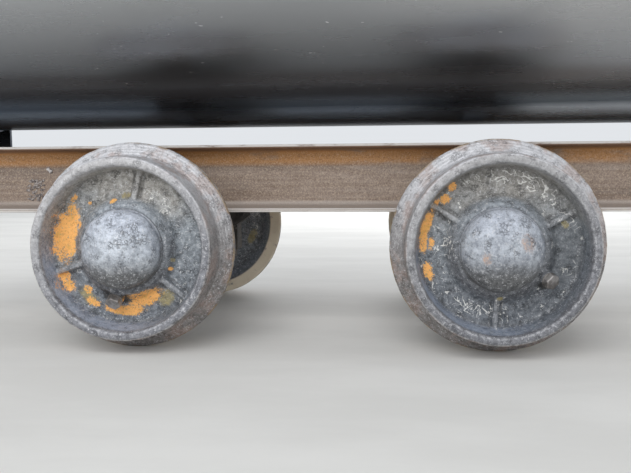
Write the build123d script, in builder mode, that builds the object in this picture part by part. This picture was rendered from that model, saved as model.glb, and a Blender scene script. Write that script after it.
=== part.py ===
from build123d import *
from math import atan2, cos, degrees, radians, sin
import os

# Ore cart with a fixed round-bottomed tub, for 600 mm gauge rails.
# Millimetres. +X points to the front, +Z up. The origin is on the floor, under the middle of the cart,
# which stands on its wheel flanges.

# Wheels and axles
wheelbase = 600
flange_back = 270        # from the cart's middle plane to the back face of a wheel's flange
flange_radius = 172
flange_width = 13        # at the tip
flange_root = 30         # flange back face to where the tread starts
tread_radius = 150       # at the root of the flange
tread_taper = 2          # the tread is this much smaller at its outer edge
wheel_width = 85         # flange back face to rim face
rim_inner_radius = 133
rim_draft = 6            # the rim's inner wall closes in by this much towards the disc
back_inner_radius = 148
disc_front = 38          # depth of the disc's front, from the flange back face
disc_thickness = 14
boss_radius = 74
boss_height = 62         # from the flange back face
hub_back_radius = 58
hub_back_length = 18     # how far the hub stands in from the flange back face
cast_radius = 5          # usual round on a cast corner
cast_edge = 3            # usual bevel on a cast edge
rim_edge = 4             # bevel on the rim's two outer edges
flange_tip_round = 6
flange_root_round = 7
disc_round = 9           # where the disc meets the rim or the hub
disc_rise = 3            # the disc comes forward by this much towards the boss
boss_flare = 13          # the boss widens by this much down to the disc
rib_count = 3
rib_thickness = 10
rib_reach = 119          # outer end of a rib, from the wheel's axis
rib_step = 4             # from the boss's face down to the rib
rib_drop = 13            # a rib is this much lower at its outer end
axle_radius = 35
stub_radius = 30
stub_clearance = 0.05
axle_end_gap = 12        # from the axle's end to the face of the boss
running_clearance = 0.08

# Hub cap and grease plug
cap_radius = 63.5
cap_step = 2.5           # the foot ring is this much larger than the cap
cap_foot = 4
cap_straight = 12        # straight part of the cap, foot ring included
cap_dome = 42            # height of the dome over the straight part
cap_shoulder = 26        # radius of the dome's rounder outer part
cap_wall = 9
plug_tilt = 35           # degrees from the axle towards the rim
plug_place_radius = 85
plug_place_height = 61
plug_boss_radius = 13
plug_across_flats = 22
plug_height = 11
dust_ring_radius = 52
dust_ring_width = 8

# Side channels, a rolled section with sloped flanges
channel_height = 120
channel_flange = 53
channel_web = 5.5
channel_thickness = 9    # of a flange, halfway along it
channel_slope = 0.1
channel_root_radius = 9
channel_toe_radius = 3
channel_heel_radius = 1
channel_bottom = 222
channel_back = 127       # from the cart's middle plane to the back of the web
frame_end_gap = 8        # from the tub's end to the end of the channels

# Axle seats
seat_half_foot = 125
seat_half_width = 95
seat_foot_height = 23
seat_slope_height = 21
seat_bottom_drop = 30    # below the axle's centre
seat_width = 48
seat_inset = 2.5         # from the flange's toe
seat_web = 16
seat_rim = 10
seat_boss_wall = 14
keeper_thickness = 20
bolt_place = 72
bolt_hole_radius = 11

# Frame ends and cross members
end_plate_thickness = 12
end_plate_top = 412
end_plate_top_width = 220
cross_height = 100
cross_flange = 48
cross_wall = 7
buffer_length = 100
buffer_width = 190
buffer_height = 140
buffer_centre = 342      # coupling height
buffer_neck_width = 150
buffer_nose = 34         # thickness of the wide head
buffer_corner = 18
slot_height = 54
slot_width = 104
slot_depth = 78
pin_radius = 16
pin_place = 45           # from the buffer's face

# Tub and saddles
tub_bottom = 383
tub_top = 1222
tub_length = 1660
tub_radius = 517
tub_plate = 8
end_flange = 26
end_corner = 10
rim_height = 60
rim_thickness = 8
seat_gap = 0.3           # between curved plates that lie on each other
strap_thickness = 8
strap_width = 80
strap_half_angle = 26
saddle_web = 10
saddle_inset = 60        # from the tub's end to the middle of a saddle
gusset_thickness = 8
gusset_place = 153

# Worked out from the above
axle_height = flange_radius
frame_length = tub_length + 2 * frame_end_gap
channel_top = channel_bottom + channel_height
channel_toe = channel_back + channel_flange
tub_centre = tub_bottom + tub_radius
tub_inner_radius = tub_radius - tub_plate
shell_length = tub_length - 2 * tub_plate
seat_outer = channel_toe - seat_inset
seat_inner = seat_outer - seat_width
bore_radius = axle_radius + running_clearance
seat_bottom = axle_height - seat_bottom_drop
strap_outer_radius = tub_radius + seat_gap + strap_thickness

# name, place along the cart, place across it (+1 left), angle of the first rib in degrees
wheel_table = [
    ("front_right", 1, -1, 147),
    ("rear_right", -1, -1, 79),
    ("front_left", 1, 1, 50),
    ("rear_left", -1, 1, 105),
]
ends = [("front", 1), ("rear", -1)]
sides = [("left", 1), ("right", -1)]

os.makedirs("parts", exist_ok=True)


def save(part, name):
    part.label = name
    export_step(part, f"parts/{name}.step")


def across(x=0):
    """Plane square to the cart's length: local x is +Y, local y is up."""
    return Plane(origin=(x, 0, 0), x_dir=(0, 1, 0), z_dir=(1, 0, 0))


def beside(y):
    """Plane along the cart's side: local x is +X, local y is up, and it faces -Y."""
    return Plane(origin=(0, y, 0), x_dir=(1, 0, 0), z_dir=(0, -1, 0))


def wheel_plane(x, side, angle):
    """Half plane through a wheel's axis: local x is outwards along the axle, local y is the radius."""
    a = radians(angle)
    centre = (x, side * flange_back, axle_height)
    return Plane(origin=centre, x_dir=(0, side, 0), z_dir=(side * sin(a), 0, -side * cos(a)))


def tub_section(x, radius):
    """The tub's U section of the given radius, as a face square to the cart's length."""
    with BuildSketch(across(x)) as section:
        with BuildLine():
            Polyline((-radius, tub_centre), (-radius, tub_top), (radius, tub_top), (radius, tub_centre))
            ThreePointArc((radius, tub_centre), (0, tub_centre - radius), (-radius, tub_centre))
        make_face()
    return section.sketch


# Side channels
toe_thickness = channel_thickness - channel_slope * (channel_flange - channel_web) / 2
root_thickness = channel_thickness + channel_slope * (channel_flange - channel_web) / 2
web_face = channel_back + channel_web
channel_profile = [
    # distance from the cart's middle plane, height, round of the corner
    (channel_back, channel_bottom, channel_heel_radius),
    (channel_toe, channel_bottom, channel_heel_radius),
    (channel_toe, channel_bottom + toe_thickness, channel_toe_radius),
    (web_face, channel_bottom + root_thickness, channel_root_radius),
    (web_face, channel_top - root_thickness, channel_root_radius),
    (channel_toe, channel_top - toe_thickness, channel_toe_radius),
    (channel_toe, channel_top, channel_heel_radius),
    (channel_back, channel_top, channel_heel_radius),
]
for name, side in sides:
    with BuildPart() as channel:
        with BuildSketch(across(-frame_length / 2)):
            with BuildLine():
                FilletPolyline(
                    *[(side * y, z) for y, z, corner in channel_profile],
                    radius=[corner for y, z, corner in channel_profile],
                    close=True,
                )
            make_face()
        extrude(amount=frame_length)
    save(channel.part, f"side_channel_{name}")

# Cross members, short channels between the webs
for name, end in ends:
    x = end * wheelbase / 2
    with BuildPart() as cross:
        with BuildSketch(Plane.XZ.offset(-channel_back)):
            with Locations((x, channel_bottom + channel_height / 2)):
                Rectangle(cross_flange, cross_height)
            with Locations((x - end * cross_wall, channel_bottom + channel_height / 2)):
                Rectangle(cross_flange, cross_height - 2 * cross_wall, mode=Mode.SUBTRACT)
        extrude(amount=2 * channel_back)
    save(cross.part, f"cross_member_{name}")

# End plates and buffers
for name, end in ends:
    face_x = end * frame_length / 2
    with BuildPart() as end_plate:
        with BuildSketch(across(face_x)) as outline:
            with BuildLine():
                Polyline(
                    (-channel_toe, channel_bottom),
                    (channel_toe, channel_bottom),
                    (channel_toe, channel_top),
                    (end_plate_top_width / 2, end_plate_top),
                    (-end_plate_top_width / 2, end_plate_top),
                    (-channel_toe, channel_top),
                    close=True,
                )
            make_face()
            fillet(outline.vertices(), end_corner)
        extrude(amount=end * end_plate_thickness)
    save(end_plate.part, f"end_plate_{name}")

    root_x = face_x + end * end_plate_thickness
    nose_x = root_x + end * buffer_length
    with BuildPart() as buffer:
        with BuildSketch(Plane.XY.offset(buffer_centre - buffer_height / 2)) as plan:
            with BuildLine():
                Polyline(
                    (root_x, -buffer_width / 2),
                    (root_x, buffer_width / 2),
                    (root_x + end * cast_radius * 3, buffer_width / 2),
                    (root_x + end * cast_radius * 6, buffer_neck_width / 2),
                    (nose_x - end * (buffer_nose + cast_radius * 3), buffer_neck_width / 2),
                    (nose_x - end * buffer_nose, buffer_width / 2),
                    (nose_x, buffer_width / 2),
                    (nose_x, -buffer_width / 2),
                    (nose_x - end * buffer_nose, -buffer_width / 2),
                    (nose_x - end * (buffer_nose + cast_radius * 3), -buffer_neck_width / 2),
                    (root_x + end * cast_radius * 6, -buffer_neck_width / 2),
                    (root_x + end * cast_radius * 3, -buffer_width / 2),
                    close=True,
                )
            make_face()
        extrude(amount=buffer_height)
        nose_edges = buffer.edges().filter_by(Axis.Z).filter_by(lambda e: abs(e.center().X - nose_x) < 1)
        fillet(nose_edges, buffer_corner)
        with BuildSketch(Plane.XZ.offset(-slot_width / 2)):
            with Locations((nose_x - end * slot_depth / 2, buffer_centre)):
                Rectangle(slot_depth, slot_height)
        extrude(amount=slot_width, mode=Mode.SUBTRACT)
        with Locations(Plane.XY.offset(buffer_centre + buffer_height / 2)):
            with Locations((nose_x - end * pin_place, 0)):
                Hole(pin_radius)
        front_edges = buffer.faces().sort_by(Axis.X)[-1 if end > 0 else 0].edges()
        fillet(front_edges, cast_radius * 0.6)
    save(buffer.part, f"buffer_{name}")

# Axle seats and their keepers
for name, end, side, rib_angle in wheel_table:
    x = end * wheelbase / 2
    seat_plane = beside(max(side * seat_inner, side * seat_outer))
    foot_bottom = channel_bottom - seat_foot_height
    slope_bottom = foot_bottom - seat_slope_height
    with BuildPart() as seat:
        with BuildSketch(seat_plane) as outline:
            with BuildLine():
                Polyline(
                    (x - seat_half_foot, channel_bottom),
                    (x + seat_half_foot, channel_bottom),
                    (x + seat_half_foot, foot_bottom),
                    (x + seat_half_width, slope_bottom),
                    (x + seat_half_width, seat_bottom),
                    (x - seat_half_width, seat_bottom),
                    (x - seat_half_width, slope_bottom),
                    (x - seat_half_foot, foot_bottom),
                    close=True,
                )
            make_face()
        extrude(amount=seat_width)
        pocket_depth = (seat_width - seat_web) / 2
        for offset_depth in (0, seat_width - pocket_depth):
            with BuildSketch(seat_plane.offset(offset_depth)):
                add(outline.sketch)
                offset(amount=-seat_rim, mode=Mode.REPLACE)
                with Locations((x, axle_height)):
                    Circle(bore_radius + seat_boss_wall, mode=Mode.SUBTRACT)
            extrude(amount=pocket_depth, mode=Mode.SUBTRACT)
        with BuildSketch(seat_plane):
            with Locations((x, axle_height)):
                Circle(bore_radius)
            with Locations((x, (axle_height + seat_bottom) / 2)):
                Rectangle(2 * bore_radius, seat_bottom_drop)
        extrude(amount=seat_width, mode=Mode.SUBTRACT)
    save(seat.part, f"axle_seat_{name}")

    with BuildPart() as keeper:
        with BuildSketch(seat_plane):
            with Locations((x, seat_bottom - keeper_thickness / 2)):
                Rectangle(2 * seat_half_width, keeper_thickness)
            with Locations((x, axle_height)):
                Circle(bore_radius, mode=Mode.SUBTRACT)
        extrude(amount=seat_width)
        with Locations(Plane.XY.offset(seat_bottom)):
            with Locations(
                (x - bolt_place, side * (seat_inner + seat_outer) / 2),
                (x + bolt_place, side * (seat_inner + seat_outer) / 2),
            ):
                Hole(bolt_hole_radius)
    save(keeper.part, f"axle_keeper_{name}")

# Saddles: an upright web with gussets, and a curved strap that carries the shell
for name, end in ends:
    x = end * (tub_length / 2 - saddle_inset)
    with BuildPart() as strap:
        with BuildSketch(across(x - strap_width / 2)):
            with BuildLine():
                inner = CenterArc((0, tub_centre), tub_radius + seat_gap, 270 - strap_half_angle,
                                  2 * strap_half_angle)
                outer = CenterArc((0, tub_centre), strap_outer_radius, 270 - strap_half_angle,
                                  2 * strap_half_angle)
                Line(inner @ 0, outer @ 0)
                Line(inner @ 1, outer @ 1)
            make_face()
        extrude(amount=strap_width)
    save(strap.part, f"saddle_strap_{name}")

    tip_y = strap_outer_radius * sin(radians(strap_half_angle))
    tip_z = tub_centre - strap_outer_radius * cos(radians(strap_half_angle))
    with BuildPart() as web:
        with BuildSketch(across(x - saddle_web / 2)):
            with BuildLine():
                Polyline(
                    (-tip_y, tip_z),
                    (-channel_toe, channel_top),
                    (channel_toe, channel_top),
                    (tip_y, tip_z),
                )
                Line((tip_y, tip_z), (tip_y, tip_z + strap_width))
                Line((tip_y, tip_z + strap_width), (-tip_y, tip_z + strap_width))
                Line((-tip_y, tip_z + strap_width), (-tip_y, tip_z))
            make_face()
        extrude(amount=saddle_web)
        for side in (-1, 1):
            with BuildSketch(Plane.XY.offset(channel_top)):
                with Locations((x, side * gusset_place)):
                    Rectangle(strap_width, gusset_thickness)
            extrude(amount=tip_z - channel_top)
        with BuildSketch(across(x - strap_width / 2)):
            with Locations((0, tub_centre)):
                Circle(strap_outer_radius)
        extrude(amount=strap_width, mode=Mode.SUBTRACT)
    save(web.part, f"saddle_web_{name}")

# Tub shell
with BuildPart() as shell:
    extrude(tub_section(-shell_length / 2, tub_radius), amount=shell_length)
    extrude(tub_section(-shell_length / 2, tub_inner_radius), amount=shell_length, mode=Mode.SUBTRACT)
save(shell.part, "tub_shell")

# Tub end plates, flanged inwards behind the shell's edge
flange_outer_radius = tub_inner_radius - seat_gap
for name, end in ends:
    outer_x = end * tub_length / 2
    flange_x = outer_x - end * tub_plate
    with BuildPart() as tub_end:
        extrude(tub_section(outer_x, tub_radius), amount=-end * tub_plate)
        extrude(tub_section(flange_x, flange_outer_radius), amount=-end * end_flange)
        flange_inside = tub_section(flange_x, flange_outer_radius - tub_plate)
        extrude(flange_inside, amount=-end * end_flange, mode=Mode.SUBTRACT)
    save(tub_end.part, f"tub_end_{name}")

# Rim bars
for name, side in sides:
    with BuildPart() as rim:
        with BuildSketch(Plane.XY.offset(tub_top - rim_height)):
            with Locations((0, side * (tub_radius + rim_thickness / 2))):
                Rectangle(tub_length, rim_thickness)
        extrude(amount=rim_height)
        fillet(rim.edges().filter_by(Axis.X), rim_thickness / 4)
    save(rim.part, f"rim_bar_{name}")
for name, end in ends:
    with BuildPart() as rim:
        with BuildSketch(Plane.XY.offset(tub_top - rim_height)):
            with Locations((end * (tub_length + rim_thickness) / 2, 0)):
                Rectangle(rim_thickness, 2 * (tub_radius + rim_thickness))
        extrude(amount=rim_height)
        fillet(rim.edges().filter_by(Axis.Y), rim_thickness / 4)
    save(rim.part, f"rim_bar_{name}")

# Axles
stub_end = flange_back + boss_height - axle_end_gap
shoulder = flange_back - hub_back_length - dust_ring_width
for name, end in ends:
    x = end * wheelbase / 2
    with BuildPart() as axle:
        with BuildSketch(Plane(origin=(x, 0, axle_height), x_dir=(0, 1, 0), z_dir=(1, 0, 0))):
            with BuildLine():
                Polyline(
                    (-stub_end, 0),
                    (-stub_end, stub_radius),
                    (-shoulder, stub_radius),
                    (-shoulder, axle_radius),
                    (shoulder, axle_radius),
                    (shoulder, stub_radius),
                    (stub_end, stub_radius),
                    (stub_end, 0),
                    close=True,
                )
            make_face()
        revolve(axis=Axis((x, 0, axle_height), (0, 1, 0)))
    save(axle.part, f"axle_{name}")

# Wheels, with hub cap, grease plug and dust ring
hub_bore = stub_radius + stub_clearance
disc_back = disc_front - disc_thickness
junction_radius = rim_inner_radius - rim_draft
rib_root = (hub_back_radius + boss_radius) / 2
rib_top = boss_height - rib_step
wheel_profile = [
    # depth from the flange back face, radius, round of the corner
    (0, back_inner_radius, 0),
    (0, flange_radius - cast_edge, 0),
    (cast_edge, flange_radius, 0),
    (flange_width, flange_radius, flange_tip_round),
    (flange_root, tread_radius, flange_root_round),
    (wheel_width - rim_edge, tread_radius - tread_taper, 0),
    (wheel_width, tread_radius - tread_taper - rim_edge, 0),
    (wheel_width, rim_inner_radius + rim_edge, 0),
    (wheel_width - rim_edge, rim_inner_radius, 0),
    (disc_front, junction_radius, disc_round),
    (disc_front + disc_rise, boss_radius + boss_flare, disc_round),
    (boss_height - cast_edge, boss_radius, 0),
    (boss_height, boss_radius - cast_edge, 0),
    (boss_height, hub_bore, 0),
    (-hub_back_length, hub_bore, 0),
    (-hub_back_length, hub_back_radius - cast_edge, 0),
    (cast_edge - hub_back_length, hub_back_radius, 0),
    (disc_back, hub_back_radius + rim_draft, disc_round),
    (disc_back, junction_radius - rim_draft, disc_round),
]
plug_axis = (cos(radians(plug_tilt)), sin(radians(plug_tilt)))

# The cap's dome is two arcs: a shoulder, and a crown centred on the axle, which run into each other
dome_start = boss_height + cap_straight
shoulder_place = cap_radius - cap_shoulder
crown_radius = (shoulder_place**2 + cap_dome**2 - cap_shoulder**2) / (2 * (cap_dome - cap_shoulder))
shoulder_turn = degrees(atan2(crown_radius - cap_dome, shoulder_place))
for name, end, side, rib_angle in wheel_table:
    x = end * wheelbase / 2
    centre = (x, side * flange_back, axle_height)
    turn_axis = Axis(centre, (0, side, 0))
    half = wheel_plane(x, side, 90)
    with BuildPart() as wheel:
        with BuildSketch(half):
            with BuildLine():
                FilletPolyline(
                    *[(s, r) for s, r, corner in wheel_profile],
                    radius=[corner for s, r, corner in wheel_profile],
                    close=True,
                )
            make_face()
        revolve(axis=turn_axis)
        for index in range(rib_count):
            with BuildSketch(wheel_plane(x, side, rib_angle + index * 360 / rib_count)):
                with BuildLine():
                    Polyline(
                        (disc_front - disc_thickness / 2, rib_root),
                        (rib_top, rib_root),
                        (rib_top, boss_radius - cast_edge),
                        (rib_top - rib_drop, rib_reach),
                        (disc_front - disc_thickness / 2, rib_reach),
                        close=True,
                    )
                make_face()
            extrude(amount=rib_thickness / 2, both=True)
        plug_half = wheel_plane(x, side, rib_angle + 180)
        plug_seat = Plane(
            origin=plug_half.from_local_coords(Vector(plug_place_height, plug_place_radius, 0)),
            z_dir=plug_half.x_dir * plug_axis[0] + plug_half.y_dir * plug_axis[1],
        )
        with BuildSketch(plug_seat):
            Circle(plug_boss_radius)
        extrude(amount=-2 * plug_boss_radius)
    save(wheel.part, f"wheel_{name}")

    with BuildPart() as cap:
        with BuildSketch(half):
            with BuildLine():
                Polyline(
                    (dome_start, cap_radius - cap_wall),
                    (boss_height, cap_radius - cap_wall),
                    (boss_height, cap_radius + cap_step),
                    (boss_height + cap_foot, cap_radius + cap_step),
                    (boss_height + cap_foot, cap_radius),
                    (dome_start, cap_radius),
                )
                for wall in (0, cap_wall):
                    shoulder_arc = JernArc((dome_start, cap_radius - wall), (1, 0), cap_shoulder - wall,
                                           -shoulder_turn)
                    JernArc(shoulder_arc @ 1, shoulder_arc % 1, crown_radius - wall, shoulder_turn - 90)
                Line((dome_start + cap_dome, 0), (dome_start + cap_dome - cap_wall, 0))
            make_face()
        revolve(axis=turn_axis)
    save(cap.part, f"hub_cap_{name}")

    with BuildPart() as plug:
        with BuildSketch(plug_seat):
            RegularPolygon(plug_across_flats / 2, 6, major_radius=False)
        extrude(amount=plug_height)
    save(plug.part, f"grease_plug_{name}")

    with BuildPart() as dust_ring:
        with BuildSketch(half):
            with Locations((-hub_back_length - dust_ring_width / 2, (hub_bore + dust_ring_radius) / 2)):
                Rectangle(dust_ring_width, dust_ring_radius - hub_bore)
        revolve(axis=turn_axis)
    save(dust_ring.part, f"dust_ring_{name}")
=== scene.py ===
import math
import random
import bmesh
import bpy
from mathutils import Matrix, Vector


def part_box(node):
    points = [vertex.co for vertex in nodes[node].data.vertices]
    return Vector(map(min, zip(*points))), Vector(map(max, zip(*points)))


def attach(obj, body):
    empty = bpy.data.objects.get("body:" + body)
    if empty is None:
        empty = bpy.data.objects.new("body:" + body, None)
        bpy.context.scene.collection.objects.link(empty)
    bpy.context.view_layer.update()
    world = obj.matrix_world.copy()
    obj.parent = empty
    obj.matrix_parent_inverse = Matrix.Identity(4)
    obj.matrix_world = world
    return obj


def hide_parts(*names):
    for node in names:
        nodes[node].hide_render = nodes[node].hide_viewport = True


# The looks of a round-bottomed ore cart, in metres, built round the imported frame

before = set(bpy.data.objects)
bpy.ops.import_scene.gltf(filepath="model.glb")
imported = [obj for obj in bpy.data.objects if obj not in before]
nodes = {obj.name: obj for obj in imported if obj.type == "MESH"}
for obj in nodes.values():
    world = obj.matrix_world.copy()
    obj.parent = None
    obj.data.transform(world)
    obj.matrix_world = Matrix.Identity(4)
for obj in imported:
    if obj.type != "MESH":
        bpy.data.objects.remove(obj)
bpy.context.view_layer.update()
print("frame loaded:", len(nodes), "nodes")


# Small helpers for modelling

def addObject(name, data):
    thing = bpy.data.objects.new(name, data)
    bpy.context.scene.collection.objects.link(thing)
    return thing


def setMode(mode):
    bpy.ops.object.mode_set(mode=mode)


def clearSelection():
    if bpy.context.object and bpy.context.object.mode != "OBJECT":
        setMode("OBJECT")
    bpy.ops.object.select_all(action="DESELECT")


def pickObject(piece):
    clearSelection()
    piece.select_set(True)
    bpy.context.view_layer.objects.active = piece


def settle(piece):  # puts the piece's place into its mesh
    pickObject(piece)
    bpy.ops.object.transform_apply(location=True, rotation=True, scale=True)


def justAdded():  # the primitive just added, with its place in its mesh
    piece = bpy.context.object
    settle(piece)
    return piece


def applyAll(piece):
    pickObject(piece)
    for modifier in list(piece.modifiers):
        bpy.ops.object.modifier_apply(modifier=modifier.name)


def joinPieces(pieces, name):
    clearSelection()
    for piece in pieces:
        piece.select_set(True)
    bpy.context.view_layer.objects.active = pieces[0]
    if len(pieces) > 1:
        bpy.ops.object.join()
    pieces[0].name = name
    return pieces[0]


def dress(piece, body, material, replaced=()):  # last step of each piece: finish, body and slot
    settle(piece)
    piece.data.materials.clear()
    piece.data.materials.append(material)
    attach(piece, body)
    if replaced:
        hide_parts(*replaced)


def paintNode(name, material):  # a node of the frame keeps its shape and gets a finish
    mesh = nodes[name].data
    mesh.materials.clear()
    mesh.materials.append(material)


def selectFaces(piece, test):  # in edit mode, selects the faces whose normal passes the test
    bpy.ops.mesh.select_mode(type="FACE")
    bpy.ops.mesh.select_all(action="DESELECT")
    mesh = bmesh.from_edit_mesh(piece.data)
    for face in mesh.faces:
        face.select_set(test(face.normal))
    bmesh.update_edit_mesh(piece.data)


def selectEdges(piece, test):  # in edit mode, selects the edges whose two ends pass the test
    bpy.ops.mesh.select_mode(type="EDGE")
    bpy.ops.mesh.select_all(action="DESELECT")
    mesh = bmesh.from_edit_mesh(piece.data)
    for edge in mesh.edges:
        edge.select_set(all(test(vertex.co) for vertex in edge.verts))
    bmesh.update_edit_mesh(piece.data)


def rounded(outline, steps=4):  # points of an outline of (depth, radius, corner), each corner a short arc
    points = []
    for place, (depth, radius, corner) in enumerate(outline):
        here = Vector((depth, radius))
        before = Vector(outline[place - 1][:2]) - here
        after = Vector(outline[(place + 1) % len(outline)][:2]) - here
        if corner <= 0:
            points.append(here)
            continue
        half = before.angle(after) / 2
        reach = min(corner / math.tan(half), before.length * 0.49, after.length * 0.49)
        size = reach * math.tan(half)
        middle = here + (before.normalized() + after.normalized()).normalized() * size / math.sin(half)
        first = here + before.normalized() * reach - middle
        last = here + after.normalized() * reach - middle
        swing = first.angle_signed(last)
        for step in range(steps + 1):
            points.append(middle + Matrix.Rotation(-swing * step / steps, 2) @ first)
    return points


def drawPath(points, name):  # a chain of edges, extruded from one vertex, left selected in edit mode
    clearSelection()
    bpy.ops.mesh.primitive_plane_add(size=0.01, location=points[0])
    piece = justAdded()
    piece.name = name
    setMode("EDIT")
    bpy.ops.mesh.select_mode(type="VERT")
    bpy.ops.mesh.select_all(action="SELECT")
    bpy.ops.mesh.merge(type="CENTER")
    for here, there in zip(points, points[1:]):
        bpy.ops.mesh.extrude_vertices_move(TRANSFORM_OT_translate={"value": there - here})
    bpy.ops.mesh.select_all(action="SELECT")
    return piece


def turnAbout(piece, centre, angle):  # turns a mesh about an axle, in degrees, as seen from -Y
    turn = Matrix.Rotation(-math.radians(angle), 4, "Y")
    piece.data.transform(Matrix.Translation(centre) @ turn @ Matrix.Translation(-centre))


def lumpy(piece, strength, size, depth=2):  # slight lumps of a casting, or waves of a plate
    texture = bpy.data.textures.new("lumps", "CLOUDS")
    texture.noise_scale = size
    texture.noise_depth = depth
    lumps = piece.modifiers.new("lumps", "DISPLACE")
    lumps.texture = texture
    lumps.strength = strength
    lumps.texture_coords = "LOCAL"
    return lumps


# Camera: its place and turn follow the photograph

camera = {
    "place": (0.1232, -1.5101, 0.2969),
    "yaw": -0.0941,
    "pitch": -0.0884,
    "roll": -0.0071,
    "focalPixels": 754.4,
    "pixelsAcross": 631,
    "sensor": 36.0,
    "farthest": 60,
}


def addCamera():
    data = bpy.data.cameras.new("photoCamera")
    data.sensor_width = camera["sensor"]
    data.lens = camera["focalPixels"] * camera["sensor"] / camera["pixelsAcross"]
    data.clip_end = camera["farthest"]
    eye = addObject("photoCamera", data)
    yaw, pitch, roll = camera["yaw"], camera["pitch"], camera["roll"]
    ahead = Vector((math.sin(yaw) * math.cos(pitch), math.cos(yaw) * math.cos(pitch), math.sin(pitch)))
    level = Vector((math.cos(yaw), -math.sin(yaw), 0))
    above = level.cross(ahead)
    right = level * math.cos(roll) + above * math.sin(roll)
    up = above * math.cos(roll) - level * math.sin(roll)
    turn = Matrix((right, up, -ahead)).transposed().to_4x4()
    eye.matrix_world = Matrix.Translation(camera["place"]) @ turn
    bpy.context.scene.camera = eye


addCamera()


# Helpers for materials

work = {"tree": None}  # the node tree that is being built


class Value:  # a node's output: a sum or product with it is a Math node
    def __init__(self, socket):
        self.socket = socket

    def __add__(self, other):
        return calc("ADD", self, other)

    def __sub__(self, other):
        return calc("SUBTRACT", self, other)

    def __rsub__(self, other):
        return calc("SUBTRACT", other, self)

    def __mul__(self, other):
        return calc("MULTIPLY", self, other)

    def __truediv__(self, other):
        return calc("DIVIDE", self, other)

    def __pow__(self, other):
        return calc("POWER", self, other)

    def __abs__(self):
        return calc("ABSOLUTE", self)


def feed(socket, value):  # gives a socket a link, a number, a colour or a vector
    if isinstance(value, Value):
        work["tree"].links.new(value.socket, socket)
    elif isinstance(value, (int, float)):
        socket.default_value = value
    else:
        socket.default_value = (*value, 1)[:len(socket.default_value)]


def feedAll(sockets, values):
    for key, value in values.items():
        feed(sockets[key], value)


def addNode(kind, output, inputs, **settings):  # a node with its inputs fed; gives one of its outputs
    node = work["tree"].nodes.new(kind)
    for key, value in settings.items():
        setattr(node, key, value)
    feedAll(node.inputs, inputs)
    return Value(node.outputs[output])


def calc(operation, *values):
    return addNode("ShaderNodeMath", 0, dict(enumerate(values)), operation=operation)


def rise(value, start, end):  # 0 at the start and 1 at the end, smooth between them
    if start > end:
        return 1 - rise(value, end, start)
    return addNode("ShaderNodeMapRange", "Result", {"Value": value, "From Min": start, "From Max": end},
                   interpolation_type="SMOOTHSTEP")


def band(value, centre, half, soft):  # 1 within half of the centre, fading over soft
    return rise(abs(value - centre), half + soft, half)


def largest(first, second):
    return calc("MAXIMUM", first, second)


def mix(factor, first, second):
    return addNode("ShaderNodeMix", 2, {"Factor": factor, 6: first, 7: second}, data_type="RGBA")


def layered(colour, tones, *layers):  # lays tones over a colour in turn, each as (tone, share, mask)
    for tone, share, mask in layers:
        colour = mix(mask * share, colour, tones[tone])
    return colour


def ramp(value, stops):  # colour ramp of (place, colour) stops
    node = work["tree"].nodes.new("ShaderNodeValToRGB")
    while len(node.color_ramp.elements) < len(stops):
        node.color_ramp.elements.new(0.5)
    for element, (place, colour) in zip(node.color_ramp.elements, stops):
        element.position = place
        element.color = (*colour, 1)
    feed(node.inputs["Fac"], value)
    return Value(node.outputs["Color"])


def noise(vector, scale, detail=4.0, roughness=0.55, distortion=0.0):
    return addNode("ShaderNodeTexNoise", "Fac", {"Vector": vector, "Scale": scale, "Detail": detail,
                                                 "Roughness": roughness, "Distortion": distortion})


def cracks(vector, scale, wobble):  # distance to a net of crooked lines
    push = addNode("ShaderNodeTexNoise", "Color", {"Vector": vector, "Scale": scale * 0.6})
    pushed = addNode("ShaderNodeVectorMath", "Vector", {0: push, 1: (wobble, wobble, wobble), 2: vector},
                     operation="MULTIPLY_ADD")
    return addNode("ShaderNodeTexVoronoi", "Distance", {"Vector": pushed, "Scale": scale},
                   feature="DISTANCE_TO_EDGE")


def stretched(vector, scale):  # the coordinates, scaled by a different amount each way
    return addNode("ShaderNodeMapping", "Vector", {"Vector": vector, "Scale": scale})


def axesOf(vector):
    node = work["tree"].nodes.new("ShaderNodeSeparateXYZ")
    feed(node.inputs["Vector"], vector)
    return [Value(output) for output in node.outputs]


def lengthOf(first, second):
    return calc("SQRT", first * first + second * second)


def bump(shader, height, strength, distance):
    inputs = {"Strength": strength, "Distance": distance, "Height": height}
    feed(shader.inputs["Normal"], addNode("ShaderNodeBump", "Normal", inputs))


def newMaterial(name, metallic=0.0, roughness=0.5):
    material = bpy.data.materials.new(name)
    material.use_nodes = True
    work["tree"] = material.node_tree
    shader = material.node_tree.nodes["Principled BSDF"]
    feedAll(shader.inputs, {"Metallic": metallic, "Roughness": roughness})
    return material, shader, addNode("ShaderNodeTexCoord", "Object", {})


def newGroup(name, outputs, **inputs):  # group tree, with its input values and output sockets
    tree = bpy.data.node_groups.new(name, "ShaderNodeTree")
    tree.interface.new_socket(name="Vector", in_out="INPUT", socket_type="NodeSocketVector")
    for label, value in inputs.items():
        socket = tree.interface.new_socket(name=label, in_out="INPUT", socket_type="NodeSocketFloat")
        socket.default_value = value
    for label in outputs:
        kind = "NodeSocketColor" if label == "Colour" else "NodeSocketFloat"
        tree.interface.new_socket(name=label, in_out="OUTPUT", socket_type=kind)
    work["tree"] = tree
    given = {socket.name: Value(socket) for socket in tree.nodes.new("NodeGroupInput").outputs}
    return tree, given, tree.nodes.new("NodeGroupOutput").inputs


def useGroup(group, vector, **values):  # a group placed in a material; gives its outputs
    node = work["tree"].nodes.new("ShaderNodeGroup")
    node.node_tree = group
    feedAll(node.inputs, {"Vector": vector} | values)
    return {socket.name: Value(socket) for socket in node.outputs}


# Shared effects

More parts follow.
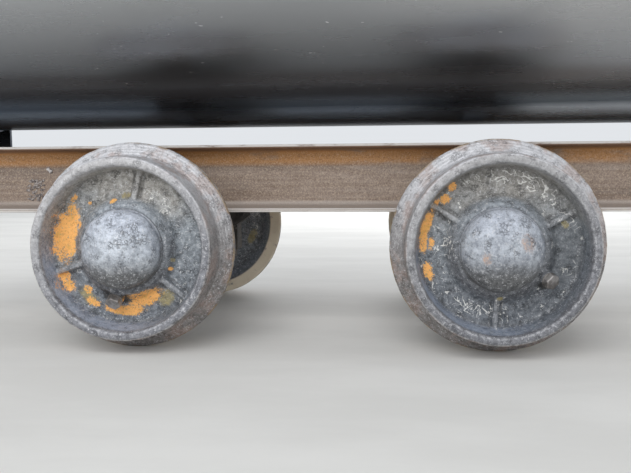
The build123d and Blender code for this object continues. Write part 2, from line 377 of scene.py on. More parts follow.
rustTones = {
    "scale": (0.09, 0.07, 0.06),
    "brown": (0.22, 0.15, 0.105),
    "tan": (0.33, 0.255, 0.2),
    "grey": (0.36, 0.33, 0.32),
    "orange": (0.4, 0.17, 0.055),
    "pale": (0.5, 0.46, 0.42),
}
rustSteps = [(0.36, "scale"), (0.47, "brown"), (0.56, "tan"), (0.66, "grey")]


def makeCastGrain():  # sand-cast skin: height, bright grains, dark pits and cracks, mottling, broad blotches
    tree, given, out = newGroup("castGrain", ["Height", "Bright", "Dark", "Mottle", "Blotch"], Scale=1.0)
    vector = addNode("ShaderNodeVectorMath", "Vector", {0: given["Vector"], "Scale": given["Scale"]},
                     operation="SCALE")
    fine = noise(vector, 430, 3, 0.6)
    middle = noise(vector, 150, 5, 0.68)
    grains = middle * 0.8 + fine
    crackle = rise(cracks(vector, 250, 0.004), 0.16, 0.05) * rise(noise(vector, 55, 3, 0.6), 0.5, 0.64)
    feedAll(out, {
        "Height": middle * 1.8 + fine - crackle,
        "Bright": rise(grains, 0.96, 1.15),
        "Dark": largest(rise(grains, 0.82, 0.62), crackle),
        "Mottle": rise(noise(vector, 130, 5, 0.75), 0.34, 0.66),
        "Blotch": noise(vector, 25, 5, 0.62),
    })
    return tree


def makeRustPatch():  # a ragged patch on a wheel's face, by angle and radius about the wheel's axis
    tree, given, out = newGroup("rustPatch", ["Mask", "Halo"], Centre=0.0, Height=0.0, Angle=0.0, Sweep=0.5,
                                Radius=0.1, Width=0.02, Ragged=1.0)
    x, y, z = axesOf(given["Vector"])
    aside, up = x - given["Centre"], z - given["Height"]
    cosine, sine = calc("COSINE", given["Angle"]), calc("SINE", given["Angle"])
    swing = calc("ARCTAN2", up * cosine - aside * sine, aside * cosine + up * sine) / given["Sweep"]
    outwards = (lengthOf(aside, up) - given["Radius"]) / given["Width"]
    rough = (noise(given["Vector"], 55, 5, 0.7) + noise(given["Vector"], 330, 5, 0.8)) * 6 - 6
    edge = rough * given["Ragged"] + (abs(swing) ** 2.4 + abs(outwards) ** 2.4)
    feedAll(out, {"Mask": rise(edge, 1.15, 0.7), "Halo": rise(edge, 2.2, 0.6)})
    return tree


def makeWheelSpot():  # a point's place about its axle, and its distance from the nearest of three ribs
    tree, given, out = newGroup("wheelSpot", ["Radius", "Depth", "Up", "Aside", "Beside"],
                                Centre=0.0, Back=0.0, Height=0.0, Rib=0.0)
    x, y, z = axesOf(given["Vector"])
    aside, up = x - given["Centre"], z - given["Height"]
    radius = lengthOf(aside, up)
    swing = calc("WRAP", calc("ARCTAN2", up, aside) - given["Rib"], math.pi / 3, -math.pi / 3)
    feedAll(out, {"Radius": radius, "Depth": abs(y) - given["Back"], "Up": up, "Aside": aside,
                  "Beside": abs(radius * calc("SINE", swing))})
    return tree


def makeChalkMarks():  # pale crooked scratches, in loose clusters
    tree, given, out = newGroup("chalkMarks", ["Mask"], Amount=0.5)
    line = rise(abs(noise(given["Vector"], 52, 2, 0.5, 1.2) - 0.5), 0.028, 0.012)
    cluster = noise(given["Vector"], 60, 3, 0.6) + given["Amount"]
    feed(out["Mask"], line * rise(cluster, 1.0, 1.06))
    return tree


def makeSurfaceRust():  # thin brown rust on steel, with orange blooms, dark scale and pale specks
    tree, given, out = newGroup("surfaceRust", ["Colour", "Height", "Loose"], Orange=0.0, Dark=0.0)
    broad = noise(given["Vector"], 7, 5, 0.62)
    middle = noise(given["Vector"], 38, 6, 0.7)
    fine = noise(given["Vector"], 300, 3, 0.6)
    bloom = rise(middle + given["Orange"], 0.62, 0.78)
    ground = ramp(middle * 0.45 + broad * 0.55, [(place, rustTones[tone]) for place, tone in rustSteps])
    colour = layered(
        ground, rustTones,
        ("orange", 1, bloom),
        ("scale", 1, rise(broad + given["Dark"], 0.6, 0.75)),
        ("pale", 0.35, rise(fine, 0.6, 0.72)),
    )
    feedAll(out, {"Colour": colour, "Height": middle * 1.4 + fine, "Loose": bloom})
    return tree


castGrain = makeCastGrain()
rustPatch = makeRustPatch()
wheelSpot = makeWheelSpot()
chalkMarks = makeChalkMarks()
surfaceRust = makeSurfaceRust()
print("shared effects made:", len(bpy.data.node_groups))


# Wheels: one is modelled, the others are turned copies

wheelLook = {
    "hubBackLength": 0.018,
    "flangeWidth": 0.013,
    "flangeRoot": 0.030,
    "treadRadius": 0.150,
    "treadTaper": 0.002,
    "width": 0.085,
    "edge": 0.003,
    "rimEdge": 0.004,
    "rimInner": 0.133,
    "rimDraft": 0.006,
    "backInner": 0.148,
    "discFront": 0.038,
    "discRise": 0.003,
    "discThickness": 0.014,
    "discRound": 0.009,
    "bossRadius": 0.074,
    "bossFlare": 0.013,
    "bossHeight": 0.062,
    "hubBackRadius": 0.058,
    "boreRadius": 0.030,
    "ribThickness": 0.0095,
    "ribReach": 0.127,
    "ribDrop": 0.013,
    "plugTilt": 35,
    "plugRadius": 0.085,
    "plugHeight": 0.061,
    "plugBoss": 0.013,
    "plugBossDepth": 0.028,
    "skin": 0.0016,
    "kept": 0.33,
    "unevenness": 0.0012,
    "lumpSize": 0.028,
    "grainSize": 0.007,
    "steps": 160,
}
ribAngles = {"front_right": 147, "rear_right": 79, "front_left": 50, "rear_left": 105}


def wheelPlace(node):  # centre of the flange's back face and the way out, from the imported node
    low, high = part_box(node)
    centre = (low + high) / 2
    outward = -1 if centre.y < 0 else 1
    back = (high.y if outward < 0 else low.y) + outward * wheelLook["hubBackLength"]
    return {
        "outward": outward,
        "centre": Vector((centre.x, back, centre.z)),
        "flangeRadius": (high.z - low.z) / 2,
    }


def spot(wheel, point, angle):  # a (depth, radius) point of a wheel, at an angle in degrees seen from -Y
    a = math.radians(angle)
    aside = Vector((math.cos(a), 0, math.sin(a))) * point[1]
    return wheel["centre"] + Vector((0, wheel["outward"] * point[0], 0)) + aside


def spinPiece(name, outline, wheel, steps=wheelLook["steps"]):  # turns an outline round the wheel's axis
    piece = drawPath([spot(wheel, point, 90) for point in outline], name)
    bpy.ops.mesh.spin(steps=steps, angle=math.tau, center=wheel["centre"], axis=(0, 1, 0))
    bpy.ops.mesh.select_all(action="SELECT")
    bpy.ops.mesh.remove_doubles(threshold=0.00002)
    bpy.ops.mesh.normals_make_consistent(inside=False)
    setMode("OBJECT")
    return piece


def wheelOutline(wheel):
    look = wheelLook
    edge, rimEdge, disc = look["edge"], look["rimEdge"], look["discRound"]
    tread, junction = look["treadRadius"] - look["treadTaper"], look["rimInner"] - look["rimDraft"]
    back = look["discFront"] - look["discThickness"]
    flange = wheel["flangeRadius"]
    points = rounded([
        (0, look["backInner"], 0.001),
        (0, flange - edge, 0.002),
        (edge, flange, 0.002),
        (look["flangeWidth"], flange, 0.006),
        (look["flangeRoot"], look["treadRadius"], 0.007),
        (look["width"] - rimEdge, tread, 0.003),
        (look["width"], tread - rimEdge, 0.003),
        (look["width"], look["rimInner"] + rimEdge, 0.003),
        (look["width"] - rimEdge, look["rimInner"], 0.003),
        (look["discFront"], junction, disc),
        (look["discFront"] + look["discRise"], look["bossRadius"] + look["bossFlare"], disc),
        (look["bossHeight"] - edge, look["bossRadius"], 0.003),
        (look["bossHeight"], look["bossRadius"] - edge, 0.002),
        (look["bossHeight"], look["boreRadius"], 0),
        (-look["hubBackLength"], look["boreRadius"], 0),
        (-look["hubBackLength"], look["hubBackRadius"] - edge, 0.002),
        (edge - look["hubBackLength"], look["hubBackRadius"], 0.002),
        (back, look["hubBackRadius"] + look["rimDraft"], disc),
        (back, junction - look["rimDraft"], disc),
    ])
    return points + points[:1]


def addRib(wheel, angle):  # wedge from the boss outwards, lower at its outer end
    look = wheelLook
    inner, outer = look["hubBackRadius"] + look["rimDraft"], look["ribReach"]
    low, top = look["discFront"] - look["discThickness"] / 2, look["bossHeight"] - look["rimEdge"]
    middle = spot(wheel, ((low + top) / 2, (inner + outer) / 2), 90)
    clearSelection()
    bpy.ops.mesh.primitive_cube_add(size=1, location=middle,
                                    scale=(look["ribThickness"], top - low, outer - inner))
    rib = justAdded()
    setMode("EDIT")
    selectEdges(rib, lambda point: point.z > middle.z and (point.y - middle.y) * wheel["outward"] > 0)
    bpy.ops.transform.translate(value=(0, -wheel["outward"] * look["ribDrop"], 0))
    selectFaces(rib, lambda normal: normal.y * wheel["outward"] > 0.5)
    bpy.ops.mesh.bevel(offset=look["edge"], segments=3)
    setMode("OBJECT")
    turnAbout(rib, wheel["centre"], angle - 90)
    return rib


def plugAxis(wheel, angle):  # the grease plug's seat and the way it points
    tilt = math.radians(wheelLook["plugTilt"])
    height, radius = wheelLook["plugHeight"], wheelLook["plugRadius"]
    seat = spot(wheel, (height, radius), angle)
    return seat, (spot(wheel, (height + math.cos(tilt), radius + math.sin(tilt)), angle) - seat).normalized()


def addPlugBoss(wheel, angle):
    seat, axis = plugAxis(wheel, angle)
    depth = wheelLook["plugBossDepth"]
    clearSelection()
    bpy.ops.mesh.primitive_cylinder_add(vertices=32, radius=wheelLook["plugBoss"], depth=depth,
                                        location=seat - axis * depth / 2,
                                        rotation=axis.to_track_quat("Z", "Y").to_euler())
    return justAdded()


def modelWheel(wheel, ribAngle):
    body = spinPiece("castWheel", wheelOutline(wheel), wheel)
    ribs = [addRib(wheel, ribAngle + turn) for turn in (0, 120, 240)]
    piece = joinPieces([body] + ribs + [addPlugBoss(wheel, ribAngle + 180)], "castWheel")
    remesh = piece.modifiers.new("skin", "REMESH")
    remesh.mode = "VOXEL"
    remesh.voxel_size = wheelLook["skin"]
    soften = piece.modifiers.new("soften", "SMOOTH")
    soften.factor = 0.5
    soften.iterations = 2
    lumpy(piece, wheelLook["unevenness"], wheelLook["lumpSize"])
    lumpy(piece, wheelLook["unevenness"] * 0.5, wheelLook["grainSize"])
    thin = piece.modifiers.new("thin", "DECIMATE")
    thin.ratio = wheelLook["kept"]
    applyAll(piece)
    bpy.ops.object.shade_smooth()
    return piece


def toWheel(piece, first, firstAngle, wheel, angle):  # moves a piece from the first wheel to another one
    half = 0 if wheel["outward"] == first["outward"] else math.pi
    piece.data.transform(Matrix.Translation(wheel["centre"]) @ Matrix.Rotation(half, 4, "Z")
                         @ Matrix.Translation(-first["centre"]))
    turnAbout(piece, wheel["centre"], angle - (180 - firstAngle if half else firstAngle))


castTones = {
    # lit and shaded copies of the disc, boss, rim and tread tones: painted light, lighter high up and darker
    # low
    "discLitHigh": (0.43, 0.405, 0.36),
    "discLitMiddle": (0.29, 0.33, 0.365),
    "discShadedLow": (0.155, 0.18, 0.21),
    "bossLitHigh": (0.34, 0.385, 0.43),
    "bossShadedLow": (0.15, 0.16, 0.18),
    "rimLitHigh": (0.53, 0.52, 0.525),
    "rimShadedLow": (0.19, 0.195, 0.22),
    # wall and litWall: painted sky light on the lower inner wall of the rim
    "wall": (0.19, 0.225, 0.275),
    "litWall": (0.44, 0.52, 0.68),
    "treadLitHigh": (0.74, 0.74, 0.77),
    "treadShadedLow": (0.22, 0.2, 0.19),
    "warm": (0.42, 0.29, 0.24),
    "backRingPaleAndLit": (0.86, 0.76, 0.6),
    "grain": (0.75, 0.75, 0.77),
    "pit": (0.05, 0.05, 0.052),
    # grimeAndShade: dark stains, and painted shade in creases and beside the ribs
    "grimeAndShade": (0.05, 0.047, 0.043),
    "chalk": (0.8, 0.79, 0.76),
    "orange": (1.0, 0.51, 0.16),
    "deepRust": (0.5, 0.2, 0.06),
    "amber": (0.7, 0.4, 0.1),
    "halo": (0.4, 0.27, 0.12),
    "yellow": (0.44, 0.36, 0.15),
}
wheelZones = {  # where each zone fades in, from nothing to whole
    "discLitMiddle": (-0.04, 0.1),  # by height over the axle, for the painted light: lighter higher up
    "discLitHigh": (0.08, 0.17),
    "bossLight": (0.0, 0.16),
    "rimLight": (-0.04, 0.22),
    "treadLight": (0.0, 0.2),
    "wallBelow": (0.12, 0.02),
    "wallLit": (0.08, 0.0),  # by distance to the side: painted sky light on the lower inner wall, towards the left
    "bossWithin": (0.086, 0.076),  # by radius
    "rimFrom": (0.1, 0.12),
    "treadFrom": (0.1445, 0.147),
    "flangeEdge": (0.1695, 0.1712),
    "wallFrom": (0.124, 0.129),
    "wallWithin": (0.14, 0.136),
    "ribFrom": (0.076, 0.082),
    "ribWithin": (0.129, 0.124),
    "chalkFrom": (0.068, 0.076),
    "chalkWithin": (0.132, 0.124),
    "haloWithin": (0.126, 0.118),
    "backRingFrom": (0.144, 0.149),
    "calm": (0.12, 0.134),
    "bossFront": (0.042, 0.05),  # by depth from the flange's back
    "rimFront": (0.058, 0.076),
    "rimLip": (0.0795, 0.082),
    "wallBehind": (0.08, 0.07),
    "ribBehind": (0.06, 0.055),
    "floorBehind": (0.055, 0.04),
    "discBehind": (0.079, 0.07),
    "backFace": (0.004, 0.001),
    "ribTop": (0.006, 0.003),  # by distance from the nearest rib's middle, for the painted highlight on rib tops
}
wheelBands = {  # centre, half width and fading, by radius or beside the nearest rib
    # junction: painted shade where the disc meets the rim
    "junction": (0.127, 0.001, 0.01),
    # rimEdge and treadEdge: worn edges, partly a painted highlight
    "rimEdge": (0.1358, 0.0006, 0.0014),
    "treadEdge": (0.1462, 0.0006, 0.0014),
    # painted shadow beside each rib
    "ribSideShadow": (0.0085, 0.0006, 0.0025),
}


def anyPatch(place, centre, patches):  # masks of the patches on a wheel, and of the soft halo round them
    mask, halo = 0, 0
    for angle, sweep, radius, width, ragged in patches:
        patch = useGroup(rustPatch, place, Centre=centre.x, Height=centre.z, Angle=math.radians(angle),
                         Sweep=math.radians(sweep), Radius=radius, Width=width, Ragged=ragged)
        mask = largest(mask, patch["Mask"])
        halo = largest(halo, patch["Halo"])
    return mask, halo


def mottled(colour, grain, dark, pale):  # cast mottling, pits and worn grains over a colour
    return layered(
        colour, castTones,
        ("pit", dark, 1 - grain["Mottle"]),
        ("grain", pale, grain["Mottle"]),
        ("pit", dark + 0.2, grain["Dark"]),
        ("grain", 0.7, grain["Bright"]),
    )


def castForms(where, level, blotch):  # tones of a wheel's forms with painted light, lighter high up and to the left and darker low, with masks of its outer part and rib tops
    radius, depth, aside, beside = (where[key] for key in ("Radius", "Depth", "Aside", "Beside"))
    tones, zones = castTones, wheelZones
    # painted light: disc, boss, rim and tread lighter high up and darker low, the rim also lighter to the
    # left
    colour = mix(rise(level, *zones["discLitMiddle"]), tones["discShadedLow"], tones["discLitMiddle"])
    colour = mix(rise(level, *zones["discLitHigh"]), colour, tones["discLitHigh"])
    boss = mix(rise(level, *zones["bossLight"]), tones["bossShadedLow"], tones["bossLitHigh"])
    colour = mix(rise(radius, *zones["bossWithin"]) * rise(depth, *zones["bossFront"]), colour, boss)
    rim = mix(rise(aside * -0.35 + level, *zones["rimLight"]), tones["rimShadedLow"], tones["rimLitHigh"])
    colour = mix(rise(depth, *zones["rimFront"]) * rise(radius, *zones["rimFrom"]), colour, rim)
    tread = mix(rise(level, *zones["treadLight"]), tones["treadShadedLow"], tones["treadLitHigh"])
    outer = rise(radius, *zones["treadFrom"])
    # the rim's lower inner wall, which gets a painted sky light, bluer and lighter to the left
    wall = rise(radius, *zones["wallFrom"]) * rise(radius, *zones["wallWithin"])
    wall = wall * rise(depth, *zones["wallBehind"]) * rise(level, *zones["wallBelow"])
    spokes = rise(radius, *zones["ribFrom"]) * rise(radius, *zones["ribWithin"])
    spokes = spokes * rise(depth, *zones["ribBehind"])
    ribTop = rise(beside, *zones["ribTop"]) * spokes
    colour = layered(
        mix(outer, colour, tread), tones,
        ("warm", 0.6, rise(blotch, 0.46, 0.6) * outer),
        ("wall", 0.6, wall),
        ("litWall", 0.8, wall * rise(aside, *zones["wallLit"])),
        # painted shade where the disc meets the rim
        ("grimeAndShade", 0.3, band(radius, *wheelBands["junction"]) * rise(depth, *zones["floorBehind"])),
        # painted highlight on the rib tops
        ("rimLitHigh", 0.35, ribTop),
        # painted shadow beside the ribs
        ("grimeAndShade", 0.5, band(beside, *wheelBands["ribSideShadow"]) * spokes),
    )
    return colour, outer, ribTop


def makeWheelSteel(name, wheel, marks):
    material, shader, place = newMaterial(name, metallic=0.25, roughness=0.55)
    centre, zones = wheel["centre"], wheelZones
    grain = useGroup(castGrain, place)
    blotch, mottle = grain["Blotch"], grain["Mottle"]
    where = useGroup(wheelSpot, place, Centre=centre.x, Back=abs(centre.y), Height=centre.z,
                     Rib=math.radians(marks["rib"]))
    radius, depth = where["Radius"], where["Depth"]
    # the level, height over the axle broken by blotches, sets the painted light
    colour, outer, ribTop = castForms(where, blotch * 0.12 + where["Up"], blotch)
    colour = mottled(colour, grain, rise(radius, *zones["calm"]) * -0.2 + 0.45, 0.2)
    # edges: worn grains on the rim and tread edges, partly a painted highlight
    edges = largest(band(radius, *wheelBands["treadEdge"]), band(radius, *wheelBands["rimEdge"]))
    # the pale worn ring on the flange's back, also painted lighter as painted light from the far side
    backRingPaleAndLit = rise(depth, *zones["backFace"]) * rise(radius, *zones["backRingFrom"])
    patches = {kind: anyPatch(place, centre, marks[kind])
               for kind in ("chalk", "stains", "smudgesAndShade", "yellow", "rust")}
    face = rise(depth, *zones["discBehind"])
    chalky = largest(*patches["chalk"]) * 0.17 + marks["chalky"]
    onDisc = rise(radius, *zones["chalkFrom"]) * rise(radius, *zones["chalkWithin"]) * face
    yellow, aroundYellow = patches["yellow"]
    loose, aroundRust = patches["rust"]
    bare = 1 - ribTop * 0.85
    colour = layered(
        colour, castTones,
        ("pit", 1 - marks["tone"], outer * -0.7 + 1),
        ("grain", 0.4, edges * rise(depth, *zones["rimLip"]) * mottle),
        ("halo", 0.6, rise(radius, *zones["flangeEdge"]) * rise(blotch, 0.44, 0.54)),
        ("backRingPaleAndLit", 1, backRingPaleAndLit * rise(noise(place, 30, 5, 0.65), 0.3, 0.42)),
        ("chalk", 0.85, useGroup(chalkMarks, place, Amount=chalky)["Mask"] * onDisc),
        ("grimeAndShade", 0.85, patches["stains"][0] * face),
        # darker patches: a faint smudge, and painted shade over one side of a disc
        ("pit", 0.35, patches["smudgesAndShade"][1] * face),
        ("yellow", 1, largest(aroundYellow * 0.5, yellow) * face * (mottle * 0.4 + 0.45)),
        ("halo", 0.25, aroundRust * rise(radius, *zones["haloWithin"]) * bare),
    )
    loose = loose * face * bare * rise(noise(place, 170, 5, 0.8), 0.33, 0.41)
    rust = layered(
        castTones["orange"], castTones,
        ("deepRust", 1, rise(noise(place, 230, 6, 0.85), 0.5, 0.68)),
        ("amber", 0.45, rise(noise(place, 75, 5, 0.7), 0.5, 0.62)),
    )
    feedAll(shader.inputs, {"Base Color": mix(loose, colour, rust), "Metallic": loose * -0.25 + 0.25,
                            "Roughness": loose * 0.3 + 0.55})
    grooves = calc("SINE", depth * 1700) * outer
    bump(shader, grooves * 0.25 + grain["Height"], 0.75, 0.001)
    return material


# Each mark is (angle, half sweep, radius, half width, raggedness)
wheelMarks = {
    "front_right": {
        "tone": 0.78,
        "rust": [(166, 17, 0.1195, 0.007, 0.7), (145, 4, 0.122, 0.004, 1.0), (138, 4, 0.1145, 0.006, 1.3),
                 (128, 3, 0.1215, 0.005, 1.3), (176, 5, 0.1065, 0.004, 1.8), (-162, 7, 0.117, 0.006, 1.8)],
        "stains": [(-36, 10, 0.087, 0.010, 0.5)],
        # painted shade over the right of this disc
        "smudgesAndShade": [(-4, 24, 0.102, 0.022, 0.25)],
        "yellow": [(-90, 3, 0.078, 0.003, 1.0), (21, 3, 0.1064, 0.004, 1.2)],
        "chalk": [(68, 37, 0.114, 0.009, 0.4), (-116, 15, 0.104, 0.010, 0.4), (-91, 8, 0.103, 0.014, 0.4),
                  (24, 7, 0.108, 0.012, 0.4), (15, 5, 0.122, 0.005, 0.5), (178, 16, 0.08, 0.006, 0.5)],
        "chalky": 0.43,
    },
    "rear_right": {
        "tone": 0.97,
        "rust": [(168, 24, 0.1075, 0.020, 0.6), (-153, 9, 0.119, 0.009, 1.2), (138, 3, 0.12, 0.004, 1.5),
                 (-94, 17, 0.1055, 0.008, 0.8), (-72, 19, 0.089, 0.012, 0.7), (-123, 6, 0.1105, 0.006, 1.5),
                 (-136, 4, 0.099, 0.005, 1.8), (103, 4, 0.0785, 0.0035, 1.0), (130, 2.4, 0.095, 0.003, 0.9),
                 (-25, 2.3, 0.081, 0.003, 0.6), (156, 4, 0.087, 0.003, 1.2)],
        "stains": [(-104, 19, 0.085, 0.010, 0.5)],
        "smudgesAndShade": [(25, 5, 0.098, 0.007, 0.5)],
        "yellow": [(-54, 7, 0.104, 0.011, 0.8), (89, 4.5, 0.085, 0.005, 1.0), (-130, 9, 0.108, 0.008, 1.4),
                   (-14, 2.3, 0.08, 0.003, 0.8)],
        "chalk": [(55, 16, 0.092, 0.01, 0.6)],
        "chalky": 0.36,
    },
    "front_left": {
        "tone": 0.85,
        "rust": [(60, 40, 0.11, 0.014, 1.1), (-60, 16, 0.1, 0.012, 1.3)],
        "stains": [(230, 14, 0.088, 0.011, 0.5)],
        "smudgesAndShade": [(120, 20, 0.1, 0.015, 0.5)],
        "yellow": [(10, 10, 0.1, 0.012, 1.2)],
        "chalk": [(150, 30, 0.105, 0.014, 0.8)],
        "chalky": 0.37,
    },
    "rear_left": {
        "tone": 0.9,
        "rust": [(210, 36, 0.112, 0.014, 1.0)],
        "stains": [(-75, 14, 0.088, 0.011, 0.5)],
        "smudgesAndShade": [(60, 15, 0.1, 0.015, 0.5)],
        "yellow": [(-20, 8, 0.105, 0.008, 1.2)],
        "chalk": [(20, 30, 0.105, 0.014, 0.8)],
        "chalky": 0.37,
    },
}

wheels = {place: wheelPlace("wheel_" + place) for place in ribAngles}
firstPlace = "front_right"


def wheelName(place, name):  # such as frontRightWheel
    end, side = place.split("_")
    return end + side.capitalize() + name


def atEachWheel(first, name):  # the first piece and its copies on the other wheels, with their names
    pieces = []
    for place, wheel in wheels.items():
        piece = first
        if place != firstPlace:
            piece = addObject(name, first.data.copy())
            toWheel(piece, wheels[firstPlace], ribAngles[firstPlace], wheel, ribAngles[place])
        piece.name = wheelName(place, name)
        pieces.append((place, "wheelset_" + place.split("_")[0], piece))
    return pieces


firstWheel = modelWheel(wheels[firstPlace], ribAngles[firstPlace])
for place, body, piece in atEachWheel(firstWheel, "Wheel"):
    marks = wheelMarks[place] | {"rib": ribAngles[place]}
    steel = makeWheelSteel(piece.name + "Steel", wheels[place], marks)
    dress(piece, body, steel, ["wheel_" + place])
print("wheels modelled:", len(wheels), "of", len(firstWheel.data.polygons), "faces")


# Hub caps

capLook = {
    "radius": 0.0635,
    "step": 0.0025,
    "foot": 0.004,
    "straight": 0.012,
    "dome": 0.042,
    "shoulder": 0.026,
    "groove": 0.0012,
    "grooveWidth": 0.004,
    "footCorner": 0.001,
    "shoulderSteps": 14,
    "crownSteps": 22,
    "unevenness": 0.0016,
    "lumpSize": 0.022,
    "grainSize": 0.006,
    "crease": 50,
    "steps": 128,
}
capTones = {
    "cool": (0.42, 0.46, 0.53),
    "pale": (0.62, 0.67, 0.74),
    # top: painted highlight; dark: the low part, partly dirt and partly painted shade
    "top": (0.76, 0.82, 0.95),
    "dark": (0.1, 0.1, 0.095),
    "spot": (0.7, 0.38, 0.2),
}
capZones = {  # by height over the axle, for the painted highlight on top and the darker low part, and by depth for the painted shade at the foot
    "top": (0.025, 0.07),
    "low": (0.015, -0.03),
    "foot": (0.071, 0.064),
}


def capOutline():
    look = capLook
    radius, shoulder = look["radius"], look["shoulder"]
    base = wheelLook["bossHeight"]
    start = base + look["straight"]
    footTop = base + look["foot"]
    place = radius - shoulder
    crown = (place ** 2 + look["dome"] ** 2 - shoulder ** 2) / (2 * (look["dome"] - shoulder))
    meet = math.atan2(crown - look["dome"], place)
    points = [
        (base, 0.0),
        (base, radius + look["step"]),
        (footTop - look["footCorner"], radius + look["step"]),
        (footTop, radius + look["step"] - look["footCorner"]),
        (footTop, radius),
        (footTop + look["grooveWidth"] / 2, radius - look["groove"]),
        (footTop + look["grooveWidth"], radius),
        (start, radius),
    ]
    low, high = look["shoulderSteps"], look["crownSteps"]
    points += [(start + shoulder * math.sin(a), place + shoulder * math.cos(a))
               for a in (meet * step / low for step in range(1, low + 1))]
    points += [(start + look["dome"] - crown + crown * math.sin(a), crown * math.cos(a))
               for a in (meet + (math.pi / 2 - meet) * step / high for step in range(1, high))]
    return points + [(start + look["dome"], 0.0)]


def makeCapSteel(name, wheel, marks):
    material, shader, place = newMaterial(name, metallic=0.25, roughness=0.55)
    centre = wheel["centre"]
    grain = useGroup(castGrain, place, Scale=0.85)
    where = useGroup(wheelSpot, place, Centre=centre.x, Back=abs(centre.y), Height=centre.z)
    level = grain["Blotch"] * 0.03 + where["Up"]
    spots, around = anyPatch(place, centre, marks["spots"])
    colour = layered(
        mix(rise(grain["Blotch"], 0.38, 0.62), capTones["cool"], capTones["pale"]), capTones,
        # painted highlight on top, and a darker low part that is partly dirt and partly painted shade
        ("top", 0.6, rise(level, *capZones["top"])),
        ("dark", 0.92, rise(level, *capZones["low"])),
        ("spot", 1, largest(spots, around * 0.4) * grain["Mottle"]),
    )
    colour = mottled(colour, grain, 0.42, 0.16)
    # painted shade in the crease at the cap's foot
    colour = mix(rise(where["Depth"], *capZones["foot"]) * 0.6, colour, castTones["grimeAndShade"])
    feed(shader.inputs["Base Color"], mix(1 - marks["tone"], colour, castTones["pit"]))
    bump(shader, grain["Height"], 0.7, 0.0011)
    return material


capMarks = {
    "front_right": {"tone": 0.84, "spots": [(22, 20, 0.0347, 0.009, 0.9), (-163, 14, 0.0286, 0.006, 1.3)]},
    "rear_right": {"tone": 1.0, "spots": []},
    "front_left": {"tone": 0.9, "spots": [(70, 18, 0.04, 0.01, 1.2)]},
    "rear_left": {"tone": 0.9, "spots": [(-30, 15, 0.045, 0.009, 1.2)]},
}
firstCap = spinPiece("hubCap", capOutline(), wheels[firstPlace], capLook["steps"])
lumpy(firstCap, capLook["unevenness"], capLook["lumpSize"])
lumpy(firstCap, capLook["unevenness"] * 0.4, capLook["grainSize"])
applyAll(firstCap)
bpy.ops.object.shade_smooth_by_angle(angle=math.radians(capLook["crease"]))
for place, body, piece in atEachWheel(firstCap, "HubCap"):
    steel = makeCapSteel(piece.name + "Steel", wheels[place], capMarks[place])
    dress(piece, body, steel, ["hub_cap_" + place])
print("hub caps modelled:", len(wheels))


# Bolts, nuts and grease plugs

boltLook = {
    "plugFlats": 0.022,
    "plugHeight": 0.0085,
    "plugWasher": 0.0025,
    "plugWasherRadius": 0.0125,
    "plugTurn": 0.3,
    "keeperFlats": 0.03,
    "keeperHead": 0.0125,
    "keeperWasher": 0.003,
    "keeperWasherRadius": 0.0185,
    "keeperShank": 0.0098,
    "keeperPlace": 0.072,
    "keeperPast": 0.022,
    "seatRim": 0.010,
    "bufferFlats": 0.024,
    "bufferHead": 0.010,
    "bufferAside": 0.085,
    "bufferUp": 0.042,
    "bufferFlange": 0.015,
    "washerRound": 0.0006,
    "shankRound": 0.001,
    "chamfer": 0.06,  # a share of the flats, as the inset and round below
    "chamferRise": 0.12,  # a share of the height
    "faceInset": 0.04,
    "cornerRound": 0.02,
}


def makeBoltSteel(name, colour, dark, roughness=0.5):
    material, shader, place = newMaterial(name, 0.6, roughness)
    grain = useGroup(castGrain, place, Scale=1.3)
    tone = mix(rise(grain["Blotch"], 0.4, 0.62), dark, colour)
    feedAll(shader.inputs, {"Base Color": layered(tone, rustTones, ("pale", 0.4, grain["Bright"])),
                            "Roughness": grain["Blotch"] * 0.5 + (roughness - 0.25)})
    bump(shader, grain["Height"], 0.3, 0.0003)
    return material


def standOn(piece, foot, axis, turn=0.0):  # moves a piece made at the origin, along Z, to its seat
    place = Matrix.Translation(foot) @ axis.to_track_quat("Z", "Y").to_matrix().to_4x4()
    piece.data.transform(place @ Matrix.Rotation(turn, 4, "Z"))


def addHex(acrossFlats, height, foot, axis, turn=0.0):  # a bolt head or nut with chamfered corners
    clearSelection()
    bpy.ops.mesh.primitive_cylinder_add(vertices=6, radius=acrossFlats / math.sqrt(3), depth=height,
                                        location=(0, 0, height / 2))
    head = justAdded()
    setMode("EDIT")
    selectFaces(head, lambda normal: normal.z > 0.9)
    bpy.ops.mesh.inset(thickness=acrossFlats * boltLook["chamfer"])
    bpy.ops.transform.translate(value=(0, 0, height * boltLook["chamferRise"]))
    bpy.ops.mesh.inset(thickness=acrossFlats * boltLook["faceInset"])
    selectEdges(head, lambda point: point.z < height * 1.01)
    bpy.ops.mesh.bevel(offset=acrossFlats * boltLook["cornerRound"], segments=2)
    setMode("OBJECT")
    standOn(head, foot, axis, turn)
    return head


def addDisc(radius, height, foot, axis, corner=boltLook["washerRound"]):  # a washer or a round shank
    clearSelection()
    bpy.ops.mesh.primitive_cylinder_add(vertices=32, radius=radius, depth=height, location=(0, 0, height / 2))
    disc = justAdded()
    setMode("EDIT")
    selectFaces(disc, lambda normal: abs(normal.z) > 0.9)
    bpy.ops.mesh.bevel(offset=corner, segments=2)
    setMode("OBJECT")
    standOn(disc, foot, axis)
    return disc


plugSteel = makeBoltSteel("plugSteel", (0.42, 0.4, 0.39), (0.16, 0.145, 0.135), 0.45)
boltSteel = makeBoltSteel("boltSteel", (0.2, 0.17, 0.15), (0.08, 0.065, 0.055))
seat, axis = plugAxis(wheels[firstPlace], ribAngles[firstPlace] + 180)
firstPlug = joinPieces([
    addDisc(boltLook["plugWasherRadius"], boltLook["plugWasher"], seat, axis),
    addHex(boltLook["plugFlats"], boltLook["plugHeight"], seat + axis * boltLook["plugWasher"], axis,
           boltLook["plugTurn"]),
], "greasePlug")
for place, body, piece in atEachWheel(firstPlug, "GreasePlug"):
    dress(piece, body, plugSteel, ["grease_plug_" + place])

